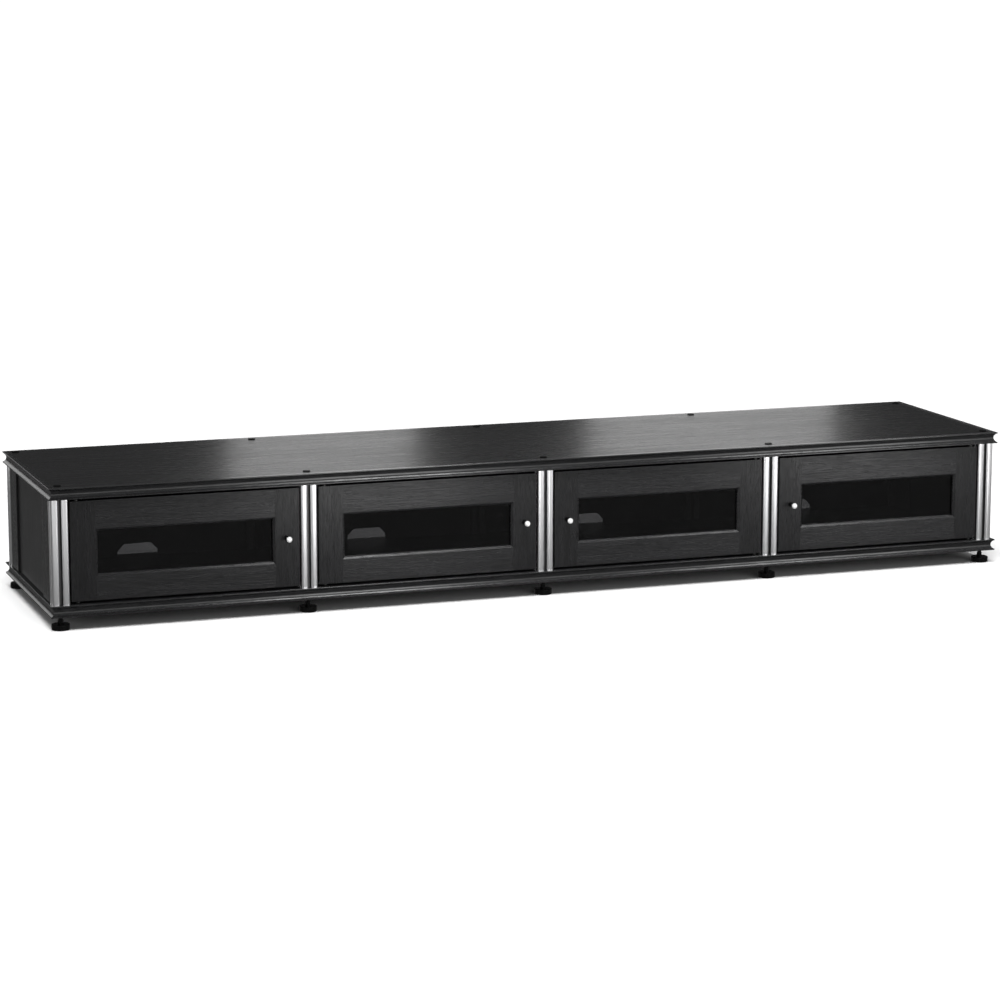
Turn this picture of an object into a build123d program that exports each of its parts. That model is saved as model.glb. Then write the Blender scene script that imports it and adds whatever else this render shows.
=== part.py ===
from build123d import *
import os

# Four-bay media cabinet: two boards held apart by ten aluminium posts, with four
# inset doors in front, notched panels behind and levelling feet below.
# Millimetres. X runs along the width, the doors face -Y, and Z is up from the floor.

# Carcass
bay_count = 4
bay_pitch = 533.4
board_overhang = 24.2
deck_depth = 498.0
board_thickness = 25.0
foot_height = 29.5
post_length = 222.5

# Edge moulding round each board
moulding_depth = 11.0
lip_thickness = 2.5
cove_depth = 6.8
lip_round = 0.7
seam_bevel = 0.3

# Aluminium posts
post_width = 36.4
post_front = 240.4
groove_width = 6.3
lobe_round = 5.4
hub_diameter = 17.0
post_bore = 8.6

# Tie bolts, caps and inserts
bolt_diameter = 8.0
bolt_head_diameter = 13.0
bolt_head_height = 7.0
bolt_head_recess = 2.0
bolt_end_height = 42.0
socket_size = 6.0
socket_depth = 3.5
counterbore_diameter = 14.4
cap_diameter = 16.0
cap_height = 2.0
cap_round = 0.8
cap_skirt_diameter = 14.0
cap_skirt_depth = 1.7
insert_diameter = 12.0
insert_flange_diameter = 22.0
insert_flange_thickness = 1.6
screw_clearance = 0.1

# Levelling feet
pad_diameter = 38.5
pad_height = 12.0
pad_round = 1.5
collar_flats = 11.0
collar_height = 9.0
stem_end_height = 40.5

# Side panels
side_inset = 0.5
stile_width = 68.0
stile_thickness = 24.0
stile_gap = 1.0
stile_round = 1.5
field_inset = 4.5
field_thickness = 12.0
field_tongue = 8.0
post_tongue = 7.5
tongue_thickness = 6.0

# Rear panels
rear_thickness = 6.0
rear_engagement = 8.0
notch_width = 92.0
notch_height = 28.5
notch_corner = 15.5

# Doors
door_width = 491.0
door_height = 212.0
door_thickness = 19.0
door_front = 238.0
door_bottom_gap = 4.6
door_edge_round = 1.0
door_stile_width = 57.5
door_rail_width = 59.7
window_drop = 4.5
bevel_width = 4.0
bevel_depth = 3.0
bevel_step = 0.8
glass_setback = 10.0
glass_thickness = 4.0
rebate_width = 6.0
glass_clearance = 0.5
bead_thickness = 4.2
hinge_sides = (-1, -1, 1, 1)

# Knobs
knob_ball_diameter = 12.0
knob_stem_diameter = 5.5
knob_collar_diameter = 10.0
knob_collar_height = 2.0
knob_reach = 27.0
knob_inset = 28.3
knob_screw_diameter = 4.0
knob_screw_depth = 8.0
knob_screw_head_diameter = 8.0
knob_screw_head_height = 2.4

# Door pivots
pivot_inset = 14.0
pivot_setback = 7.0
pin_diameter = 6.0
pin_depth = 10.0
pin_reach = 7.0
pin_collar_diameter = 10.0
pin_collar_height = 2.6
bush_diameter = 10.0
bush_flange_diameter = 15.0
bush_flange_thickness = 1.5
bush_depth = 8.5

# Magnetic catches
catch_width = 46.0
catch_height = 13.0
catch_depth = 16.0
catch_inset = 36.0
catch_gap = 0.4
strike_width = 40.0
strike_height = 11.0
strike_thickness = 1.5

# Derived places
post_count = bay_count + 1
deck_width = bay_count * bay_pitch + 2 * board_overhang
bottom_board_top = foot_height + board_thickness
top_board_bottom = bottom_board_top + post_length
deck_top = top_board_bottom + board_thickness
post_y = post_front - post_width / 2
door_back = door_front - door_thickness
door_bottom = bottom_board_top + door_bottom_gap
door_top = door_bottom + door_height
door_middle = (door_bottom + door_top) / 2
window_middle = door_middle - window_drop
glass_front = door_front - glass_setback
glass_back = glass_front - glass_thickness
window_width = door_width - 2 * door_stile_width
window_height = door_height - 2 * door_rail_width
pivot_y = pivot_setback - door_front
knob_tip = door_front + knob_reach
carcass_y = (knob_tip - deck_depth / 2) / 2
post_lines = [(index - bay_count / 2) * bay_pitch for index in range(post_count)]
bay_centres = [(index - (bay_count - 1) / 2) * bay_pitch for index in range(bay_count)]
post_places = [(x, y) for y in (-post_y, post_y) for x in post_lines]


def block(x_range, y_range, z_range):
    """A box between the given limits."""
    lows = (x_range[0], y_range[0], z_range[0])
    highs = (x_range[1], y_range[1], z_range[1])
    middle = [(low + high) / 2 for low, high in zip(lows, highs)]
    size = [high - low for low, high in zip(lows, highs)]
    return Pos(*middle) * Box(*size)


def upright(place, z_range, diameter):
    """A vertical cylinder."""
    height = z_range[1] - z_range[0]
    return Pos(place[0], place[1], (z_range[0] + z_range[1]) / 2) * Cylinder(diameter / 2, height)


def save(name, solids):
    """Write one sub-part, moved so that the whole cabinet is centred on the origin in Y."""
    placed = [Pos(0, carcass_y, 0) * solid for solid in solids]
    export_step(Compound(children=placed), f"parts/{name}.step")


# Boards


def board_core(bottom):
    """A board without its moulding, with a fine bevel at its edges."""
    half_width = deck_width / 2 - moulding_depth
    half_depth = deck_depth / 2 - moulding_depth
    top = bottom + board_thickness
    core = block((-half_width, half_width), (-half_depth, half_depth), (bottom, top))
    face_edges = core.edges().filter_by_position(Axis.Z, bottom, bottom) + core.edges().filter_by_position(
        Axis.Z, top, top
    )
    return chamfer(face_edges, seam_bevel)


def pivot_pockets(z_range):
    """Round pockets for the pivot bushes of all doors."""
    return [upright((pivot_x(bay), pivot_y), z_range, bush_diameter) for bay in range(bay_count)]


def top_board():
    """The deck, bored for the tie bolts and for the upper bushes."""
    board = board_core(top_board_bottom)
    head_floor = deck_top - bolt_head_recess - bolt_head_height
    for place in post_places:
        board -= upright(place, (top_board_bottom, deck_top), post_bore)
        board -= upright(place, (head_floor, deck_top), counterbore_diameter)
    for pocket in pivot_pockets((top_board_bottom, top_board_bottom + bush_depth)):
        board -= pocket
    return board


def bottom_board():
    """The base, bored for the threaded inserts and for the lower bushes."""
    board = board_core(foot_height)
    for place in post_places:
        board -= upright(place, (foot_height, bottom_board_top), insert_diameter)
        flange_pocket = (foot_height, foot_height + insert_flange_thickness)
        board -= upright(place, flange_pocket, insert_flange_diameter)
    for pocket in pivot_pockets((bottom_board_top - bush_depth, bottom_board_top)):
        board -= pocket
    return board


def moulding_section():
    """Cove between two lips; the lips reach local x = 0 and the back face is at -moulding_depth."""
    lower_tip = (0, lip_thickness)
    upper_tip = (0, board_thickness - lip_thickness)
    cove_bottom = (-cove_depth, board_thickness / 2)
    cove = ThreePointArc(lower_tip, cove_bottom, upper_tip)
    flats = Polyline(
        upper_tip,
        (0, board_thickness),
        (-moulding_depth + seam_bevel, board_thickness),
        (-moulding_depth, board_thickness - seam_bevel),
        (-moulding_depth, seam_bevel),
        (-moulding_depth + seam_bevel, 0),
        (0, 0),
        lower_tip,
    )
    section = make_face(cove + flats)
    lip_corners = section.vertices().filter_by_position(Axis.X, 0, 0)
    return fillet(lip_corners, lip_round)


def moulding_run(length, reach, bottom):
    """One straight run along X with its lips at y = -reach, mitred at both ends."""
    start = Plane(origin=(length / 2, -reach, bottom), x_dir=(0, -1, 0), z_dir=(-1, 0, 0))
    run = extrude(start * moulding_section(), amount=length)
    inner_half = length / 2 - moulding_depth
    mitre_outline = Polyline(
        (-length / 2, -reach),
        (length / 2, -reach),
        (inner_half, moulding_depth - reach),
        (-inner_half, moulding_depth - reach),
        close=True,
    )
    mitre = extrude(Pos(0, 0, bottom) * make_face(mitre_outline), amount=board_thickness)
    return run & mitre


def edge_moulding(bottom):
    """Four mitred runs round one board."""
    sizes = ((deck_width, deck_depth / 2), (deck_depth, deck_width / 2))
    runs = [moulding_run(length, reach, bottom) for length, reach in sizes]
    return [Rot(0, 0, 90 * quarter) * runs[quarter % 2] for quarter in range(4)]


# Posts, tie bolts and feet


def post(place):
    """A four-lobed extrusion with a groove down each face and a bore for the tie bolt."""
    lobe = (post_width - groove_width) / 2
    lobe_centre = (groove_width + lobe) / 2
    section = Circle(hub_diameter / 2)
    for x in (-lobe_centre, lobe_centre):
        for y in (-lobe_centre, lobe_centre):
            section += Pos(x, y) * RectangleRounded(lobe, lobe, lobe_round)
    section -= Circle(post_bore / 2)
    return extrude(Pos(place[0], place[1], bottom_board_top) * section, amount=post_length)


def tie_bolt(place):
    """A long socket-head bolt through the top board and the post into the insert."""
    head_top = deck_top - bolt_head_recess
    head_floor = head_top - bolt_head_height
    bolt = upright(place, (bolt_end_height, head_floor), bolt_diameter)
    bolt += upright(place, (head_floor, head_top), bolt_head_diameter)
    socket = extrude(
        Pos(place[0], place[1], head_top - socket_depth) * RegularPolygon(socket_size / 2, 6, major_radius=False),
        amount=socket_depth,
    )
    return bolt - socket


def bolt_cap(place):
    """A round cap that stands on the deck, with a skirt in the counterbore."""
    disc = upright(place, (deck_top, deck_top + cap_height), cap_diameter)
    disc = fillet(disc.edges().group_by(Axis.Z)[-1], cap_round)
    return disc + upright(place, (deck_top - cap_skirt_depth, deck_top), cap_skirt_diameter)


def foot_insert(place):
    """A flanged insert, threaded through, pressed into the bottom board from below."""
    insert = upright(place, (foot_height, bottom_board_top), insert_diameter)
    flange = (foot_height, foot_height + insert_flange_thickness)
    insert += upright(place, flange, insert_flange_diameter)
    return insert - upright(place, (foot_height, bottom_board_top), bolt_diameter + screw_clearance)


def levelling_foot(place):
    """A round pad with a hexagonal collar and a threaded stem."""
    pad = Pos(place[0], place[1], pad_height / 2) * Cylinder(pad_diameter / 2, pad_height)
    pad = fillet(pad.edges().filter_by(GeomType.CIRCLE), pad_round)
    collar = extrude(
        Pos(place[0], place[1], pad_height) * RegularPolygon(collar_flats / 2, 6, major_radius=False),
        amount=collar_height,
    )
    stem = upright(place, (pad_height, stem_end_height), bolt_diameter)
    return pad + collar + stem


# Side and rear panels


def side_stile(side, end):
    """One upright of a side panel; side is -1 for left, end is -1 for front."""
    outer = post_lines[-1] + post_width / 2 - side_inset
    near_post = post_y - post_width / 2 - stile_gap
    near_field = near_post - stile_width
    body = block(
        sorted((side * outer, side * (outer - stile_thickness))),
        sorted((end * near_post, end * near_field)),
        (bottom_board_top, top_board_bottom),
    )
    outer_edges = body.edges().filter_by(Axis.Z).sort_by(Axis.X)
    body = fillet(outer_edges[-2:] if side > 0 else outer_edges[:2], stile_round)
    field_outer = outer - field_inset
    body -= block(
        sorted((side * field_outer, side * (field_outer - field_thickness))),
        sorted((end * near_field, end * (near_field + field_tongue))),
        (bottom_board_top, top_board_bottom),
    )
    tongue_middle = side * post_lines[-1]
    tongue = block(
        (tongue_middle - tongue_thickness / 2, tongue_middle + tongue_thickness / 2),
        sorted((end * near_post, end * (near_post + stile_gap + post_tongue))),
        (bottom_board_top, top_board_bottom),
    )
    return body + tongue


def side_field(side):
    """The flat field of a side panel, held in the grooves of its two stiles."""
    outer = post_lines[-1] + post_width / 2 - side_inset - field_inset
    half_depth = post_y - post_width / 2 - stile_gap - stile_width + field_tongue
    return block(
        sorted((side * outer, side * (outer - field_thickness))),
        (-half_depth, half_depth),
        (bottom_board_top, top_board_bottom),
    )


def rear_panel(centre):
    """A thin panel in the post grooves, with a cable notch at the bottom."""
    half_width = (bay_pitch - post_width) / 2 + rear_engagement
    panel = block(
        (centre - half_width, centre + half_width),
        (post_y - rear_thickness / 2, post_y + rear_thickness / 2),
        (bottom_board_top, top_board_bottom),
    )
    half_notch = notch_width / 2
    notch_outline = Polyline(
        (-half_notch, 0),
        (-half_notch, notch_height - notch_corner),
        (notch_corner - half_notch, notch_height),
        (half_notch - notch_corner, notch_height),
        (half_notch, notch_height - notch_corner),
        (half_notch, 0),
        close=True,
    )
    back = Plane(
        origin=(centre, post_y + rear_thickness / 2, bottom_board_top), x_dir=(1, 0, 0), z_dir=(0, -1, 0)
    )
    return panel - extrude(back * make_face(notch_outline), amount=rear_thickness)


# Doors


def pivot_x(bay):
    """X of a door's pivot line."""
    return bay_centres[bay] + hinge_sides[bay] * (door_width / 2 - pivot_inset)


def knob_x(bay):
    """X of a door's knob, on the side away from the pivot."""
    return bay_centres[bay] - hinge_sides[bay] * (door_width / 2 - knob_inset)


def window_cut(grow, y_range):
    """A box through the window opening, larger by grow on each side, about the window's middle."""
    half_width = window_width / 2 + grow
    half_height = window_height / 2 + grow
    return block((-half_width, half_width), y_range, (-half_height, half_height))


def door_blank():
    """The whole frame about the window's middle: window, bevel and glass rebate cut out."""
    frame = block(
        (-door_width / 2, door_width / 2),
        (-door_front, -door_back),
        (window_drop - door_height / 2, window_drop + door_height / 2),
    )
    frame = fillet(frame.edges().group_by(Axis.Y)[0], door_edge_round)
    frame -= window_cut(0, (-door_front, -door_back))
    frame -= window_cut(bevel_width, (-door_front, bevel_step - door_front))
    wide = Plane(origin=(0, bevel_step - door_front, 0), x_dir=(1, 0, 0), z_dir=(0, -1, 0))
    narrow = wide.offset(-bevel_depth)
    bevel = loft(
        [
            wide * Rectangle(window_width + 2 * bevel_width, window_height + 2 * bevel_width),
            narrow * Rectangle(window_width, window_height),
        ]
    )
    frame -= bevel
    return frame - window_cut(rebate_width, (-glass_front, -door_back))


def door_frame(bay):
    """Two stiles and two rails; the bevel is mitred at the corners of the window."""
    blank = door_blank()
    half_width = door_width / 2
    half_height = door_height / 2 + window_drop
    inner_x = window_width / 2
    inner_z = window_height / 2
    seam_x = inner_x + bevel_width
    seam_z = inner_z + bevel_width
    stile_outline = (
        (half_width, -half_height),
        (half_width, half_height),
        (seam_x, half_height),
        (seam_x, seam_z),
        (inner_x, inner_z),
        (inner_x, -inner_z),
        (seam_x, -seam_z),
        (seam_x, -half_height),
    )
    rail_outline = (
        (-seam_x, half_height),
        (seam_x, half_height),
        (seam_x, seam_z),
        (inner_x, inner_z),
        (-inner_x, inner_z),
        (-seam_x, seam_z),
    )
    face_plane = Plane(origin=(0, -door_back, 0), x_dir=(1, 0, 0), z_dir=(0, -1, 0))
    members = []
    for outline in (stile_outline, rail_outline):
        cutter = extrude(face_plane * make_face(Polyline(*outline, close=True)), amount=door_thickness)
        members.append(blank & cutter)
        members.append(blank & (Rot(0, 180, 0) * cutter))
    shift = Pos(bay_centres[bay], 0, window_middle)
    screw_hole = cross_bore((knob_x(bay), door_middle), (door_back, door_front), knob_screw_diameter)
    pin_bores = [
        upright((pivot_x(bay), pivot_y), (door_bottom, door_bottom + pin_depth), pin_diameter),
        upright((pivot_x(bay), pivot_y), (door_top - pin_depth, door_top), pin_diameter),
    ]
    placed = []
    for member in members:
        solid = shift * member
        for bore in [screw_hole] + pin_bores:
            solid -= bore
        placed.append(solid)
    return placed


def cross_bore(place, depths, diameter):
    """A cylinder along Y at (x, z), between two depths in front of the carcass centre."""
    length = depths[1] - depths[0]
    middle = -(depths[0] + depths[1]) / 2
    return Pos(place[0], middle, place[1]) * Rot(90, 0, 0) * Cylinder(diameter / 2, length)


def door_glass(bay):
    """The window pane, a little smaller than its rebate."""
    pane = window_cut(rebate_width - glass_clearance, (-glass_front, -glass_back))
    return Pos(bay_centres[bay], 0, window_middle) * pane


def glass_beads(bay):
    """Four square beads behind the pane, round the rebate."""
    outer_x = window_width / 2 + rebate_width
    outer_z = window_height / 2 + rebate_width
    inner_x = window_width / 2
    inner_z = window_height / 2
    depths = (-glass_back, bead_thickness - glass_back)
    beads = [
        block((-outer_x, outer_x), depths, (inner_z, outer_z)),
        block((-outer_x, outer_x), depths, (-outer_z, -inner_z)),
        block((-outer_x, -inner_x), depths, (-inner_z, inner_z)),
        block((inner_x, outer_x), depths, (-inner_z, inner_z)),
    ]
    return [Pos(bay_centres[bay], 0, window_middle) * bead for bead in beads]


def door_knob(bay):
    """A ball on a slim stem with a collar at the door, and the screw that holds it from behind."""
    place = (knob_x(bay), door_middle)
    ball_centre = knob_tip - knob_ball_diameter / 2
    collar_front = door_front + knob_collar_height
    knob = Pos(place[0], -ball_centre, place[1]) * Sphere(knob_ball_diameter / 2)
    knob += cross_bore(place, (door_front, ball_centre), knob_stem_diameter)
    knob += cross_bore(place, (door_front, collar_front), knob_collar_diameter)
    screw_tip = door_front + knob_screw_depth
    knob -= cross_bore(place, (door_front, screw_tip), knob_screw_diameter)
    head_back = door_back - knob_screw_head_height
    screw = cross_bore(place, (door_back, screw_tip), knob_screw_diameter)
    screw += cross_bore(place, (head_back, door_back), knob_screw_head_diameter)
    return [knob, screw]


def pivot_pins(bay):
    """Two pins in the top and bottom edges of the door, each with a collar in the gap."""
    place = (pivot_x(bay), pivot_y)
    lower = upright(place, (bottom_board_top - pin_reach, door_bottom + pin_depth), pin_diameter)
    lower += upright(place, (door_bottom - pin_collar_height, door_bottom), pin_collar_diameter)
    upper = upright(place, (door_top - pin_depth, top_board_bottom + pin_reach), pin_diameter)
    upper += upright(place, (door_top, door_top + pin_collar_height), pin_collar_diameter)
    return [lower, upper]


def pivot_bushes():
    """Flanged bushes in both boards on every pivot line."""
    bore = pin_diameter + screw_clearance
    bushes = []
    for bay in range(bay_count):
        place = (pivot_x(bay), pivot_y)
        low_floor = bottom_board_top - bush_depth
        low_top = bottom_board_top + bush_flange_thickness
        lower = upright(place, (low_floor, bottom_board_top), bush_diameter)
        lower += upright(place, (bottom_board_top, low_top), bush_flange_diameter)
        bushes.append(lower - upright(place, (low_floor, low_top), bore))
        high_floor = top_board_bottom - bush_flange_thickness
        high_top = top_board_bottom + bush_depth
        upper = upright(place, (top_board_bottom, high_top), bush_diameter)
        upper += upright(place, (high_floor, top_board_bottom), bush_flange_diameter)
        bushes.append(upper - upright(place, (high_floor, high_top), bore))
    return bushes


def catch_x(bay):
    """X of the middle of a door's catch, near its free edge."""
    reach = door_width / 2 - catch_inset
    return bay_centres[bay] - hinge_sides[bay] * reach


def magnetic_catch(bay):
    """A catch housing under the top board, just behind the closed door."""
    front = door_back - strike_thickness - catch_gap
    centre = catch_x(bay)
    return block(
        (centre - catch_width / 2, centre + catch_width / 2),
        (-front, catch_depth - front),
        (top_board_bottom - catch_height, top_board_bottom),
    )


def strike_plate(bay):
    """A flat steel plate on the back of the door, opposite the catch."""
    centre = catch_x(bay)
    return block(
        (centre - strike_width / 2, centre + strike_width / 2),
        (-door_back, strike_thickness - door_back),
        (door_top - strike_height - door_edge_round, door_top - door_edge_round),
    )


# Write every sub-part

os.makedirs("parts", exist_ok=True)

save("top_board", [top_board()])
save("bottom_board", [bottom_board()])
save("top_edge_moulding", edge_moulding(top_board_bottom))
save("bottom_edge_moulding", edge_moulding(foot_height))

for number, line in enumerate(post_lines, start=1):
    save(f"front_post_{number}", [post((line, -post_y))])
    save(f"rear_post_{number}", [post((line, post_y))])

save("tie_bolts", [tie_bolt(place) for place in post_places])
save("bolt_caps", [bolt_cap(place) for place in post_places])
save("foot_inserts", [foot_insert(place) for place in post_places])
for number, place in enumerate(post_places, start=1):
    save(f"levelling_foot_{number}", [levelling_foot(place)])

save("side_stiles", [side_stile(side, end) for side in (-1, 1) for end in (-1, 1)])
save("left_side_panel", [side_field(-1)])
save("right_side_panel", [side_field(1)])

save("pivot_bushes", pivot_bushes())
save("magnetic_catches", [magnetic_catch(bay) for bay in range(bay_count)])
for bay in range(bay_count):
    number = bay + 1
    save(f"rear_panel_{number}", [rear_panel(bay_centres[bay])])
    save(f"door_{number}_frame", door_frame(bay))
    save(f"door_{number}_glass", [door_glass(bay)])
    save(f"door_{number}_glass_beads", glass_beads(bay))
    save(f"door_{number}_knob", door_knob(bay))
    save(f"door_{number}_pivot_pins", pivot_pins(bay))
    save(f"door_{number}_strike_plate", [strike_plate(bay)])
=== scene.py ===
import math
import bpy
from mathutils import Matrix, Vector


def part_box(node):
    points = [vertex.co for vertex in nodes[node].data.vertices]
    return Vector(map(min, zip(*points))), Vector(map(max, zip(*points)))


# The four-bay media cabinet: materials, floor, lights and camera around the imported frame.
# Metres, in the row frame: the doors face -Y and the floor is at Z = 0.

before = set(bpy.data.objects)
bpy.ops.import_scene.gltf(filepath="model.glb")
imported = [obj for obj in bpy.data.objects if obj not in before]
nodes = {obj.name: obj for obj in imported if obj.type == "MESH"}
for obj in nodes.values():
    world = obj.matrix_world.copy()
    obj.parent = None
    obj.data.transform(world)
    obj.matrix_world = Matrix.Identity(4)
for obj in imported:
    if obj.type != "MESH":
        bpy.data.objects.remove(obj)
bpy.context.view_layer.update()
doors = (1, 2, 3, 4)
posts = (1, 2, 3, 4, 5)
feet = range(1, 11)


# Building blocks for the materials

def new_material(name, **fixed):
    """A material with a Principled shader whose sockets get the fixed values."""
    material = bpy.data.materials.new(name)
    material.use_nodes = True
    tree = material.node_tree
    tree.nodes.clear()
    output = tree.nodes.new("ShaderNodeOutputMaterial")
    shader = tree.nodes.new("ShaderNodeBsdfPrincipled")
    tree.links.new(shader.outputs["BSDF"], output.inputs["Surface"])
    for socket, value in fixed.items():
        shader.inputs[socket.replace("_", " ")].default_value = value
    return material, tree, shader


def stretched(tree, scale):
    """The piece's own coordinates, stretched by a scale in each direction."""
    place = tree.nodes.new("ShaderNodeTexCoord")
    mapping = tree.nodes.new("ShaderNodeMapping")
    mapping.inputs["Scale"].default_value = scale
    tree.links.new(place.outputs["Object"], mapping.inputs["Vector"])
    return mapping.outputs["Vector"]


def noise(tree, scale, detail=3.0, roughness=0.55, distortion=0.0):
    """Noise with a feature size set by the stretch in each direction."""
    texture = tree.nodes.new("ShaderNodeTexNoise")
    texture.inputs["Scale"].default_value = 1.0
    texture.inputs["Detail"].default_value = detail
    texture.inputs["Roughness"].default_value = roughness
    texture.inputs["Distortion"].default_value = distortion
    tree.links.new(stretched(tree, scale), texture.inputs["Vector"])
    return texture.outputs["Fac"]


def spread(tree, value, low, high, start, end):
    """Maps low..high of a value to start..end, and holds it at the ends."""
    node = tree.nodes.new("ShaderNodeMapRange")
    node.inputs["From Min"].default_value = low
    node.inputs["From Max"].default_value = high
    node.inputs["To Min"].default_value = start
    node.inputs["To Max"].default_value = end
    tree.links.new(value, node.inputs["Value"])
    return node.outputs["Result"]


def combine(tree, first, second, operation="ADD"):
    """Two values joined by an operation."""
    node = tree.nodes.new("ShaderNodeMath")
    node.operation = operation
    tree.links.new(first, node.inputs[0])
    tree.links.new(second, node.inputs[1])
    return node.outputs["Value"]


def two_colours(tree, factor, dark, light):
    """A colour between dark and light."""
    node = tree.nodes.new("ShaderNodeMix")
    node.data_type = "RGBA"
    node.inputs["A"].default_value = (*dark, 1.0)
    node.inputs["B"].default_value = (*light, 1.0)
    tree.links.new(factor, node.inputs["Factor"])
    return node.outputs["Result"]


def add_bump(tree, shader, height, depth):
    """Relief of a depth in metres."""
    node = tree.nodes.new("ShaderNodeBump")
    node.inputs["Strength"].default_value = 1.0
    node.inputs["Distance"].default_value = depth
    tree.links.new(height, node.inputs["Height"])
    tree.links.new(node.outputs["Normal"], shader.inputs["Normal"])


def along(axis, length, width):
    """Stretch for features of a length along one axis and a width across it, in metres."""
    scale = [1.0 / width] * 3
    scale["XYZ".index(axis)] = 1.0 / length
    return scale


# Materials

laminate_dark = 0.0048
laminate_light = 0.0170
laminate_finish = {"shine": 0.35, "smooth": 0.23, "rough": 0.34, "relief_depth": 0.00008}
moulding_finish = {"shine": 0.6, "smooth": 0.20, "rough": 0.27, "relief_depth": 0.00003}


def laminate(name, axis, light, shine, smooth, rough, relief_depth):
    """Black open-grain wood laminate: streaks, a slow figure and short pores along one axis."""
    material, tree, shader = new_material(name, IOR=1.5, Specular_IOR_Level=shine)
    streaks = noise(tree, along(axis, 0.06, 0.0032), 4.0, 0.6, 0.5)
    figure = noise(tree, along(axis, 0.5, 0.035), 2.0, 0.5, 1.2)
    pores = noise(tree, along(axis, 0.022, 0.0009), 2.0, 0.5)
    streak_part = spread(tree, streaks, 0.36, 0.66, 0.0, 0.62)
    figure_part = spread(tree, figure, 0.35, 0.65, 0.0, 0.38)
    tone = combine(tree, streak_part, figure_part)
    open_pore = spread(tree, pores, 0.36, 0.46, 0.0, 1.0)
    shade = combine(tree, tone, open_pore, "MULTIPLY")
    dark = laminate_dark
    colour = two_colours(tree, shade, (dark, dark, 0.0051), (light, light, light * 1.05))
    tree.links.new(colour, shader.inputs["Base Color"])
    tree.links.new(spread(tree, tone, 0.0, 1.0, rough, smooth), shader.inputs["Roughness"])
    relief = combine(tree, open_pore, spread(tree, streaks, 0.3, 0.7, 0.0, 1.3))
    add_bump(tree, shader, relief, relief_depth)
    return material


def panel(name):
    """Smooth black laminate of the panels, with a faint upright grain."""
    material, tree, shader = new_material(name, IOR=1.5)
    grain = noise(tree, along("Z", 0.12, 0.003), 3.0, 0.6)
    tone = spread(tree, grain, 0.35, 0.65, 0.0, 1.0)
    colour = two_colours(tree, tone, (0.010, 0.010, 0.0105), (0.020, 0.020, 0.021))
    tree.links.new(colour, shader.inputs["Base Color"])
    tree.links.new(spread(tree, grain, 0.3, 0.7, 0.42, 0.34), shader.inputs["Roughness"])
    add_bump(tree, shader, grain, 0.00008)
    return material


def drawn_aluminium(name, dark, light, smooth, rough):
    """Anodised aluminium with fine upright drawing lines."""
    material, tree, shader = new_material(name, Metallic=1.0)
    lines = noise(tree, along("Z", 2.0, 0.0009), 2.0, 0.5)
    cloud = noise(tree, along("Z", 0.20, 0.02), 2.0, 0.5)
    line_part = spread(tree, lines, 0.3, 0.7, 0.0, 0.6)
    cloud_part = spread(tree, cloud, 0.3, 0.7, 0.0, 0.4)
    tone = combine(tree, line_part, cloud_part)
    colour = two_colours(tree, tone, (dark, dark, dark * 1.01), (light, light, light * 1.01))
    tree.links.new(colour, shader.inputs["Base Color"])
    tree.links.new(spread(tree, tone, 0.0, 1.0, rough, smooth), shader.inputs["Roughness"])
    add_bump(tree, shader, lines, 0.000004)
    return material


def smoked_glass(name):
    """Dark tinted glass that lets a little light through, with a faint film of haze."""
    material, tree, shader = new_material(name, IOR=1.5, Transmission_Weight=1.0)
    haze = noise(tree, (9.0, 9.0, 14.0), 4.0, 0.6)
    film = spread(tree, haze, 0.3, 0.7, 0.0, 1.0)
    colour = two_colours(tree, film, (0.031, 0.031, 0.032), (0.039, 0.039, 0.040))
    tree.links.new(colour, shader.inputs["Base Color"])
    tree.links.new(spread(tree, haze, 0.4, 0.7, 0.0, 0.05), shader.inputs["Roughness"])
    return material


def moulded_plastic(name, tone, rough, shine=0.5):
    """Moulded black plastic with a fine grained skin."""
    material, tree, shader = new_material(name, IOR=1.48, Specular_IOR_Level=shine)
    skin = noise(tree, (1400.0, 1400.0, 1400.0), 2.0, 0.6)
    wear = noise(tree, (60.0, 60.0, 60.0), 3.0, 0.6)
    dark = tuple(tone * share for share in (0.8, 0.8, 0.82))
    light = tuple(tone * share for share in (1.4, 1.4, 1.42))
    tree.links.new(two_colours(tree, wear, dark, light), shader.inputs["Base Color"])
    tree.links.new(spread(tree, wear, 0.3, 0.7, rough - 0.06, rough + 0.08), shader.inputs["Roughness"])
    add_bump(tree, shader, skin, 0.00005)
    return material


def plated_steel(name, dark, light):
    """Plated steel with a patchy, slightly warm sheen."""
    material, tree, shader = new_material(name, Metallic=1.0)
    patches = noise(tree, (220.0, 220.0, 220.0), 3.0, 0.65)
    tone = spread(tree, patches, 0.35, 0.65, 0.0, 1.0)
    colour = two_colours(tree, tone, (dark, dark, dark * 0.98), (light, light, light * 0.97))
    tree.links.new(colour, shader.inputs["Base Color"])
    tree.links.new(spread(tree, patches, 0.3, 0.7, 0.25, 0.42), shader.inputs["Roughness"])
    return material


def bright_metal(name):
    """The knob's pale satin metal, with the faintest of polishing marks."""
    material, tree, shader = new_material(name, Metallic=0.30, IOR=1.5)
    marks = noise(tree, (900.0, 900.0, 900.0), 3.0, 0.6)
    colour = two_colours(tree, marks, (0.88, 0.88, 0.88), (0.95, 0.95, 0.95))
    tree.links.new(colour, shader.inputs["Base Color"])
    tree.links.new(spread(tree, marks, 0.3, 0.7, 0.20, 0.28), shader.inputs["Roughness"])
    return material


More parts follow.
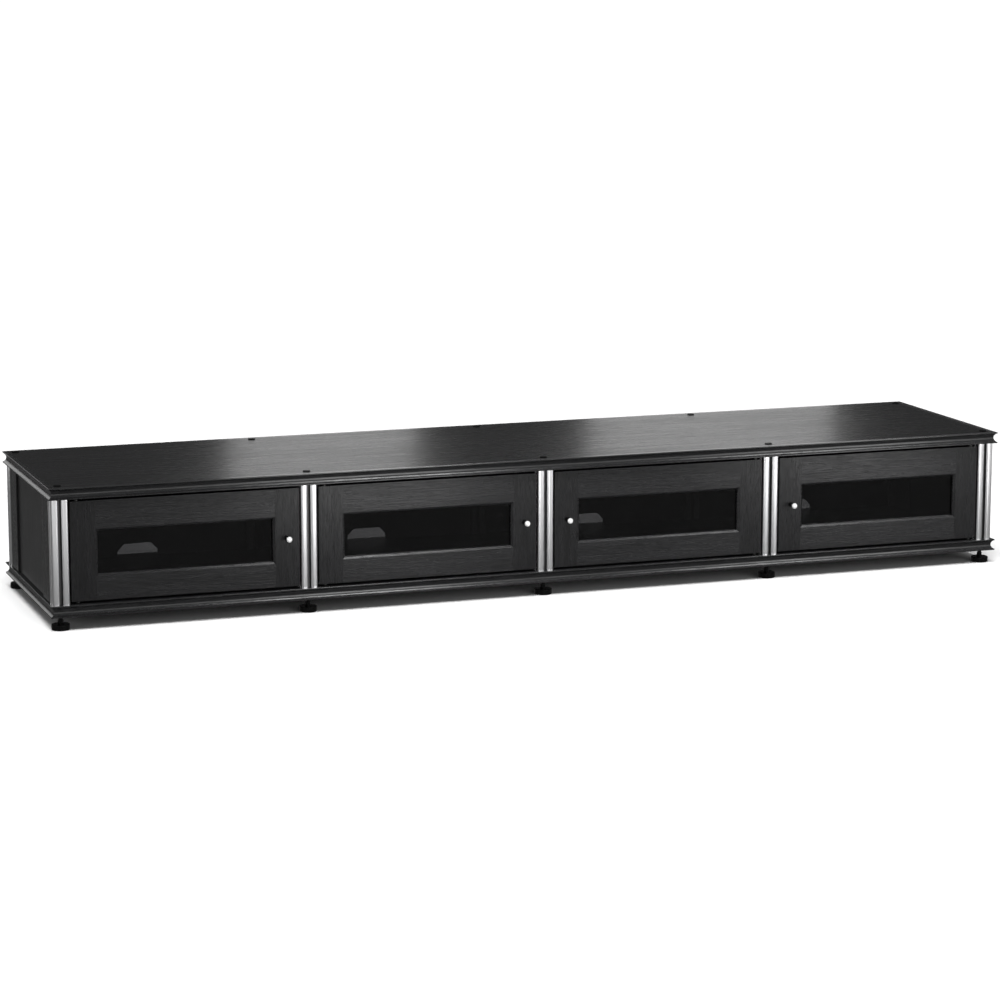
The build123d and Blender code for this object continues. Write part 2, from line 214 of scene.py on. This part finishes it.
grain_x = laminate("laminate_grain_x", "X", laminate_light, **laminate_finish)
grain_z = laminate("laminate_grain_z", "Z", 0.0145, **laminate_finish)
moulding_x = laminate("moulding_grain_x", "X", laminate_light, **moulding_finish)
moulding_y = laminate("moulding_grain_y", "Y", laminate_light, **moulding_finish)
panel_black = panel("panel_black")
# Painted shade: a near-black matte finish that stands for the shade on the step faces of the side
# stiles.
painted_shade_stile_edge = moulded_plastic("painted_shade_stile_edge", 0.004, 0.60)
aluminium = drawn_aluminium("satin_aluminium", 0.82, 0.88, 0.27, 0.31)
# Painted shade: a dark, dull aluminium that stands for the shade deep inside the posts' slots.
painted_shade_slot_aluminium = drawn_aluminium("painted_shade_slot_aluminium", 0.10, 0.16, 0.45, 0.55)
glass = smoked_glass("smoked_glass")
plastic = moulded_plastic("black_plastic", 0.003, 0.45, 0.06)
# The feet are black plastic, set darker than the other black plastic as painted shade from the board
# above them.
foot_plastic_and_painted_shade = moulded_plastic("black_foot", 0.0022, 0.30, 0.22)
steel = plated_steel("zinc_steel", 0.50, 0.68)
black_steel = plated_steel("black_steel", 0.04, 0.07)
knob_metal = bright_metal("bright_metal")


def wear_one(name, material):
    """A CAD node in one material."""
    slots = nodes[name].data.materials
    slots.clear()
    slots.append(material)


def wear_two(name, first, second, takes_second):
    """A CAD node whose faces take the second material where the test says so."""
    mesh = nodes[name].data
    mesh.materials.clear()
    mesh.materials.append(first)
    mesh.materials.append(second)
    for face in mesh.polygons:
        face.material_index = int(takes_second(face.center, face.normal))


# Boards and mouldings: the grain runs along each piece

wear_one("top_board", grain_x)
wear_one("bottom_board", grain_x)
for name in ("top_edge_moulding", "bottom_edge_moulding"):
    low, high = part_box(name)
    middle = (low + high) / 2
    reach = (high - low) / 2

    def on_a_side(point, normal, middle=middle, reach=reach):
        """True past the mitre, where the run goes from front to back."""
        return reach.x - abs(point.x - middle.x) < reach.y - abs(point.y - middle.y)

    wear_two(name, moulding_x, moulding_y, on_a_side)

# Posts and their hardware

slot_half_width = 0.0033
slot_mouth = 0.0015

for row in ("front", "rear"):
    for number in posts:
        low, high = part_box(f"{row}_post_{number}")
        middle = (low + high) / 2
        half = (high.x - low.x) / 2

        def in_a_shaded_slot(point, normal, middle=middle, half=half):
            """True on the walls and floors of the four slots, below their mouths, where the dark
            aluminium is painted shade.
            """
            offsets = sorted((abs(point.x - middle.x), abs(point.y - middle.y)))
            return offsets[0] < slot_half_width and offsets[1] < half - slot_mouth

        # The slot faces take the painted shade; the rest of each post is plain satin aluminium.
        wear_two(f"{row}_post_{number}", aluminium, painted_shade_slot_aluminium, in_a_shaded_slot)
wear_one("tie_bolts", steel)
wear_one("foot_inserts", steel)
wear_one("bolt_caps", plastic)
for number in feet:
    wear_one(f"levelling_foot_{number}", foot_plastic_and_painted_shade)

# Sides and back

low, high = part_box("side_stiles")
stile_run = 0.068
seam_margin = 0.001
facing = 0.9


def on_shaded_step_face(point, normal, low=low, high=high):
    """True on the step faces of the stiles beside the set-back field, which take painted shade."""
    inside = low.y + stile_run - seam_margin < point.y < high.y - stile_run + seam_margin
    return inside and abs(normal.y) > facing


wear_two("side_stiles", grain_z, painted_shade_stile_edge, on_shaded_step_face)
wear_one("left_side_panel", panel_black)
wear_one("right_side_panel", panel_black)
for number in doors:
    wear_one(f"rear_panel_{number}", panel_black)

# Doors: upright grain on the stiles, level grain on the rails

stile_width = 0.0535
ball_radius = 0.006
ball_reach = ball_radius * 1.02

for number in doors:
    low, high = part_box(f"door_{number}_frame")
    centre_x = (low.x + high.x) / 2
    seam = (high.x - low.x) / 2 - stile_width

    def in_a_stile(point, normal, centre_x=centre_x, seam=seam):
        """True outside the two seams of the door's frame."""
        return abs(point.x - centre_x) > seam

    wear_two(f"door_{number}_frame", grain_x, grain_z, in_a_stile)
    wear_one(f"door_{number}_glass", glass)
    wear_one(f"door_{number}_glass_beads", plastic)
    low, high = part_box(f"door_{number}_knob")
    ball = Vector(((low.x + high.x) / 2, low.y + ball_radius, (low.z + high.z) / 2))

    def off_the_ball(point, normal, ball=ball):
        """True on the knob's stem, collar and screw."""
        return (point - ball).length > ball_reach

    # The stem, collar and screw take black plastic: partly the knob's dark stem, partly painted shadow
    # round the ball.
    wear_two(f"door_{number}_knob", knob_metal, plastic, off_the_ball)
    wear_one(f"door_{number}_pivot_pins", black_steel)
    wear_one(f"door_{number}_strike_plate", steel)
wear_one("pivot_bushes", plastic)
wear_one("magnetic_catches", plastic)

# Floor

floor_reach = 60.0
floor_tone = 0.93

floor_mesh = bpy.data.meshes.new("floor")
corners = [(-floor_reach, -floor_reach, 0), (floor_reach, -floor_reach, 0)]
corners += [(floor_reach, floor_reach, 0), (-floor_reach, floor_reach, 0)]
floor_mesh.from_pydata(corners, [], [(0, 1, 2, 3)])
floor = bpy.data.objects.new("floor", floor_mesh)
bpy.context.scene.collection.objects.link(floor)
floor_paint, floor_tree, floor_shader = new_material("floor_paint", Roughness=1.0, IOR=1.0)
floor_shader.inputs["Base Color"].default_value = (floor_tone, floor_tone, floor_tone, 1.0)
floor_mesh.materials.append(floor_paint)
floor.visible_glossy = False

# World: white to look at. As a light and in reflections it is dimmer, darkest just above the
# horizon and brightest overhead.

white_level = 1.2

world = bpy.data.worlds.new("studio")
bpy.context.scene.world = world
world.use_nodes = True
tree = world.node_tree
tree.nodes.clear()
output = tree.nodes.new("ShaderNodeOutputWorld")
seen = tree.nodes.new("ShaderNodeBackground")
lit = tree.nodes.new("ShaderNodeBackground")
path = tree.nodes.new("ShaderNodeLightPath")
mix = tree.nodes.new("ShaderNodeMixShader")
place = tree.nodes.new("ShaderNodeTexCoord")
split = tree.nodes.new("ShaderNodeSeparateXYZ")
tree.links.new(place.outputs["Generated"], split.inputs["Vector"])
ramp = tree.nodes.new("ShaderNodeValToRGB")
levels = ((0.0, 0.13), (0.48, 0.13), (0.52, 0.022), (0.62, 0.035), (0.80, 0.22), (1.0, 0.32))
while len(ramp.color_ramp.elements) < len(levels):
    ramp.color_ramp.elements.new(0.5)
for stop, (height, level) in zip(ramp.color_ramp.elements, levels):
    stop.position = height
    stop.color = (level, level, level, 1.0)
tree.links.new(spread(tree, split.outputs["Z"], -1.0, 1.0, 0.0, 1.0), ramp.inputs["Fac"])
tree.links.new(ramp.outputs["Color"], lit.inputs["Color"])
seen.inputs["Strength"].default_value = white_level
looking = combine(tree, path.outputs["Is Camera Ray"], path.outputs["Is Transmission Ray"], "MAXIMUM")
tree.links.new(looking, mix.inputs["Fac"])
tree.links.new(lit.outputs["Background"], mix.inputs[1])
tree.links.new(seen.outputs["Background"], mix.inputs[2])
tree.links.new(mix.outputs["Shader"], output.inputs["Surface"])


# Lights

def softbox(name, place, aim, size, brightness, fan=180.0):
    """A rectangular light of a size, a brightness and a beam angle, turned to face a point."""
    lamp = bpy.data.lights.new(name, "AREA")
    lamp.shape = "RECTANGLE"
    lamp.size, lamp.size_y = size
    lamp.energy = 4.0 * size[0] * size[1] * brightness
    lamp.spread = math.radians(fan)
    holder = bpy.data.objects.new(name, lamp)
    bpy.context.scene.collection.objects.link(holder)
    holder.location = place
    holder.rotation_euler = (Vector(aim) - Vector(place)).to_track_quat("-Z", "Y").to_euler()
    holder.visible_camera = False
    holder.visible_transmission = False
    return holder


def shine_only_on(holders, pieces, name):
    """Keeps some lights to the named pieces alone."""
    group = bpy.data.collections.new(name)
    for piece in pieces:
        group.objects.link(nodes[piece])
    for holder in holders:
        holder.light_linking.receiver_collection = group


sun_strength = 3.3
sun_width = math.radians(34.0)

sun = bpy.data.lights.new("overhead", "SUN")
sun.energy = sun_strength
sun.angle = sun_width
sun_holder = bpy.data.objects.new("overhead", sun)
bpy.context.scene.collection.objects.link(sun_holder)
sun_holder.rotation_euler = (math.radians(22.0), math.radians(-9.0), 0.0)
sun_holder.visible_glossy = False

softbox("behind_left", (-0.05, 1.3, 0.85), (-0.38, 0.0, 0.3), (0.50, 1.4), 0.70)
softbox("behind_right", (1.05, 1.3, 0.85), (0.54, 0.0, 0.3), (0.68, 1.4), 0.74)
softbox("front_wide", (1.2, -4.5, 1.1), (0.2, 0.0, 0.2), (6.0, 2.0), 1.0)
softbox("left_side", (-4.0, -1.5, 1.3), (-1.1, 0.0, 0.2), (2.0, 2.0), 0.8)

# Two near lights glance off the fronts: they leave the floor, the feet and the glass alone

fronts = [name for name in nodes if not name.startswith("levelling")]
fronts = [name for name in fronts if not name.endswith("_glass")]
near_left = softbox("near_left", (-0.18, -1.05, 0.28), (-0.42, -0.24, 0.16), (0.50, 0.44), 2.7)
near_right = softbox("near_right", (1.06, -1.05, 0.28), (0.68, -0.24, 0.16), (0.50, 0.44), 2.7)
shine_only_on([near_left, near_right], fronts, "fronts")

# Overhead strips and one behind shine along the mouldings and the bevels of the doors

edges = ["top_edge_moulding", "bottom_edge_moulding"]
edges += [f"door_{number}_frame" for number in doors]
above_left = softbox("above_left", (-0.05, -0.20, 1.3), (-0.05, -0.20, 0.0), (0.46, 1.6), 4.6, 90.0)
above_right = softbox("above_right", (1.07, -0.20, 1.3), (1.07, -0.20, 0.0), (0.50, 1.6), 4.2, 90.0)
beyond = softbox("beyond", (-1.6, 2.8, 1.2), (-1.09, 0.0, 0.29), (1.6, 1.3), 0.9)
shine_only_on([above_left, above_right, beyond], edges, "edges")

# Low strips before, beside and behind brighten the aluminium

rows = [f"{row}_post_{number}" for row in ("front", "rear") for number in posts]
front_strip = softbox("front_strip", (0.1, -0.85, 0.20), (0.1, -0.20, 0.16), (2.8, 0.38), 0.32)
corner_strip = softbox("corner_strip", (-1.75, -1.05, 0.25), (-1.07, -0.23, 0.16), (1.3, 0.45), 0.75)
right_strip = softbox("right_strip", (2.7, -0.75, 0.25), (0.2, -0.25, 0.16), (1.1, 0.5), 1.1)
side_strip = softbox("side_strip", (-1.9, 2.6, 0.45), (-1.09, 0.0, 0.16), (1.6, 0.9), 1.8)
back_strip = softbox("back_strip", (0.0, 1.5, 0.30), (0.0, 0.24, 0.16), (3.4, 0.55), 0.6)
shine_only_on([front_strip, corner_strip, right_strip, side_strip, back_strip], rows, "posts")

# Camera

camera_data = bpy.data.cameras.new("camera")
camera_data.sensor_width = 36.0
camera_data.lens = 115.1
camera_data.clip_end = 200.0  # past the far edge of the floor
camera = bpy.data.objects.new("camera", camera_data)
bpy.context.scene.collection.objects.link(camera)
camera.location = (-2.367, -6.629, 1.466)
camera.rotation_euler = (math.radians(79.573), 0.0, math.radians(-19.467))
bpy.context.scene.camera = camera
bpy.context.scene.view_settings.view_transform = "Standard"
